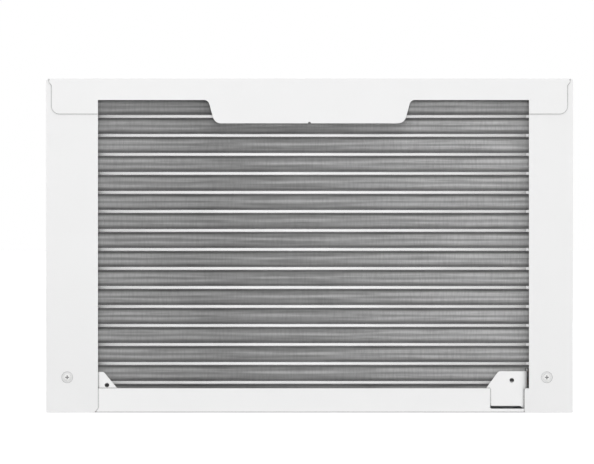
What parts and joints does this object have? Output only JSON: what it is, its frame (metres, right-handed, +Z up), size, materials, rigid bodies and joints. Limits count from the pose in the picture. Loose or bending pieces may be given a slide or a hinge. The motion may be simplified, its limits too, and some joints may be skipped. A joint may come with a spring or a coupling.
{
  "type": "window air conditioner",
  "caption": "Window air conditioner: steel cabinet over a base pan, finned condenser coil at the rear, slatted intake, tilting louvres and sprung keys on the room side.",
  "frame": {"origin": "on the sill plane, under the middle of the case", "axes": "+Z up, +Y towards the outdoor coil side, -Y the room side, +X to the right seen from the room"},
  "size_m": [0.602, 0.564, 0.38],
  "materials": {
    "coated_steel": "satin powder coat",
    "coated_screws": "satin powder coat",
    "front_plastic": "fine moulded texture",
    "outlet_plastic": "fine moulded texture",
    "key_plastic": "satin",
    "panel_plastic": "satin",
    "smoked_window": "gloss",
    "filter_net": "woven net in a moulded frame",
    "circuit_board": "solder mask",
    "coil_aluminium": "bare rolled fin stock",
    "copper_tube": "drawn copper",
    "galvanised_steel": "galvanised",
    "foam": "expanded polystyrene",
    "duct_plastic": "moulded",
    "fan_plastic": "moulded",
    "motor_paint": "semi-gloss enamel",
    "bright_steel": "zinc plated",
    "black_paint": "semi-gloss enamel",
    "black_rubber": "matt",
    "capacitor_can": "drawn can"
  },
  "bodies": {
    "chassis": {"base_pan": "coated_steel", "cabinet": "coated_steel", "condenser_plate_pos": "coated_steel", "condenser_plate_neg": "coated_steel", "cabinet_screws": "coated_screws", "front_frame": "front_plastic", "outlet_housing": "outlet_plastic", "control_panel": "panel_plastic", "display_window": "smoked_window", "display_board": "circuit_board", "circuit_board": "circuit_board", "condenser_fins": "coil_aluminium", "evaporator_fins": "coil_aluminium", "condenser_tubes": "copper_tube", "evaporator_tubes": "copper_tube", "discharge_pipe": "copper_tube", "suction_pipe": "copper_tube", "liquid_line": "copper_tube", "evaporator_end_plates": "galvanised_steel", "partition": "galvanised_steel", "motor_bracket": "galvanised_steel", "condenser_shroud": "galvanised_steel", "control_box": "galvanised_steel", "top_brace": "galvanised_steel", "drain_tray": "foam", "air_guide": "foam", "blower_orifice": "duct_plastic", "fan_motor": "motor_paint", "chassis_nuts": "bright_steel", "compressor": "black_paint", "accumulator": "black_paint", "compressor_grommets": "black_rubber", "cord_bushing": "black_rubber", "run_capacitor": "capacitor_can"},
    "fan_rotor": {"fan_shaft": "bright_steel", "blower_wheel": "fan_plastic", "condenser_fan": "fan_plastic", "hub_nuts": "bright_steel"},
    "grille": {"intake_grille": "front_plastic"},
    "filter": {"air_filter": "filter_net"},
    "louvre_bar": {"louvre_link": "outlet_plastic"},
    "vane_bar": {"vane_link": "outlet_plastic"},
    "vent": {"vent_lever": "outlet_plastic", "vent_door": "galvanised_steel"},
    "louvre_1": {"louvre_1": "outlet_plastic"},
    "louvre_2": {"louvre_2": "outlet_plastic"},
    "louvre_3": {"louvre_3": "outlet_plastic"},
    "vane_1": {"vane_1": "outlet_plastic"},
    "vane_2": {"vane_2": "outlet_plastic"},
    "vane_3": {"vane_3": "outlet_plastic"},
    "vane_4": {"vane_4": "outlet_plastic"},
    "vane_5": {"vane_5": "outlet_plastic"},
    "vane_6": {"vane_6": "outlet_plastic"},
    "key_power": {"button_power": "key_plastic"},
    "key_mode": {"button_mode": "key_plastic"},
    "key_fan": {"button_fan": "key_plastic"},
    "key_saver": {"button_saver": "key_plastic"},
    "key_timer": {"button_timer": "key_plastic"},
    "key_temp_up": {"button_temp_up": "key_plastic"},
    "key_temp_down": {"button_temp_down": "key_plastic"}
  },
  "joints": [
    {"name": "fan_spin", "type": "hinge", "parent": "chassis", "child": "fan_rotor", "pos_m": [-0.055, 0.181, 0.178], "axis": [0, 1, 0], "continuous": true},
    {"name": "grille_hinge", "type": "hinge", "parent": "chassis", "child": "grille", "pos_m": [-0.06525, -0.277, 0.0205], "axis": [1, 0, 0], "range_deg": [0, 60]},
    {"name": "filter_slide", "type": "slide", "parent": "chassis", "child": "filter", "axis": [-1, 0, 0], "range_m": [0, 0.4]},
    {"name": "vent_turn", "type": "hinge", "parent": "chassis", "child": "vent", "pos_m": [0.19, -0.18, 0.34], "axis": [0, -1, 0], "range_deg": [0, 60]},
    {"name": "louvre_1_tilt", "type": "hinge", "parent": "chassis", "child": "louvre_1", "pos_m": [-0.06, -0.267, 0.303], "axis": [1, 0, 0], "range_deg": [-25, 30]},
    {"name": "louvre_2_tilt", "type": "hinge", "parent": "chassis", "child": "louvre_2", "pos_m": [-0.06, -0.267, 0.329], "axis": [1, 0, 0], "range_deg": [-25, 30]},
    {"name": "louvre_3_tilt", "type": "hinge", "parent": "chassis", "child": "louvre_3", "pos_m": [-0.06, -0.267, 0.355], "axis": [1, 0, 0], "range_deg": [-25, 30]},
    {"name": "louvre_bar_pivot", "type": "hinge", "parent": "louvre_1", "child": "louvre_bar", "pos_m": [-0.218, -0.258, 0.303], "axis": [1, 0, 0], "range_deg": [-30, 25]},
    {"name": "vane_1_turn", "type": "hinge", "parent": "chassis", "child": "vane_1", "pos_m": [-0.225, -0.229, 0.329], "axis": [0, 0, 1], "range_deg": [-30, 30]},
    {"name": "vane_2_turn", "type": "hinge", "parent": "chassis", "child": "vane_2", "pos_m": [-0.159, -0.229, 0.329], "axis": [0, 0, 1], "range_deg": [-30, 30]},
    {"name": "vane_3_turn", "type": "hinge", "parent": "chassis", "child": "vane_3", "pos_m": [-0.093, -0.229, 0.329], "axis": [0, 0, 1], "range_deg": [-30, 30]},
    {"name": "vane_4_turn", "type": "hinge", "parent": "chassis", "child": "vane_4", "pos_m": [-0.027, -0.229, 0.329], "axis": [0, 0, 1], "range_deg": [-30, 30]},
    {"name": "vane_5_turn", "type": "hinge", "parent": "chassis", "child": "vane_5", "pos_m": [0.039, -0.229, 0.329], "axis": [0, 0, 1], "range_deg": [-30, 30]},
    {"name": "vane_6_turn", "type": "hinge", "parent": "chassis", "child": "vane_6", "pos_m": [0.105, -0.229, 0.329], "axis": [0, 0, 1], "range_deg": [-30, 30]},
    {"name": "vane_bar_pivot", "type": "hinge", "parent": "vane_1", "child": "vane_bar", "pos_m": [-0.225, -0.219, 0.304], "axis": [0, 0, 1], "range_deg": [-30, 30]},
    {"name": "press_power", "type": "slide", "parent": "chassis", "child": "key_power", "axis": [0, 1, 0], "range_m": [0, 0.001], "stiffness_N_per_m": 800, "springref_m": -0.0005},
    {"name": "press_mode", "type": "slide", "parent": "chassis", "child": "key_mode", "axis": [0, 1, 0], "range_m": [0, 0.001], "stiffness_N_per_m": 800, "springref_m": -0.0005},
    {"name": "press_fan", "type": "slide", "parent": "chassis", "child": "key_fan", "axis": [0, 1, 0], "range_m": [0, 0.001], "stiffness_N_per_m": 800, "springref_m": -0.0005},
    {"name": "press_saver", "type": "slide", "parent": "chassis", "child": "key_saver", "axis": [0, 1, 0], "range_m": [0, 0.001], "stiffness_N_per_m": 800, "springref_m": -0.0005},
    {"name": "press_timer", "type": "slide", "parent": "chassis", "child": "key_timer", "axis": [0, 1, 0], "range_m": [0, 0.001], "stiffness_N_per_m": 800, "springref_m": -0.0005},
    {"name": "press_temp_up", "type": "slide", "parent": "chassis", "child": "key_temp_up", "axis": [0, 1, 0], "range_m": [0, 0.001], "stiffness_N_per_m": 800, "springref_m": -0.0005},
    {"name": "press_temp_down", "type": "slide", "parent": "chassis", "child": "key_temp_down", "axis": [0, 1, 0], "range_m": [0, 0.001], "stiffness_N_per_m": 800, "springref_m": -0.0005}
  ],
  "couplings": [
    {"joint": "louvre_2_tilt", "follows": "louvre_1_tilt", "ratio": 1},
    {"joint": "louvre_3_tilt", "follows": "louvre_1_tilt", "ratio": 1},
    {"joint": "louvre_bar_pivot", "follows": "louvre_1_tilt", "ratio": -1},
    {"joint": "vane_2_turn", "follows": "vane_1_turn", "ratio": 1},
    {"joint": "vane_3_turn", "follows": "vane_1_turn", "ratio": 1},
    {"joint": "vane_4_turn", "follows": "vane_1_turn", "ratio": 1},
    {"joint": "vane_5_turn", "follows": "vane_1_turn", "ratio": 1},
    {"joint": "vane_6_turn", "follows": "vane_1_turn", "ratio": 1},
    {"joint": "vane_bar_pivot", "follows": "vane_1_turn", "ratio": -1}
  ]
}
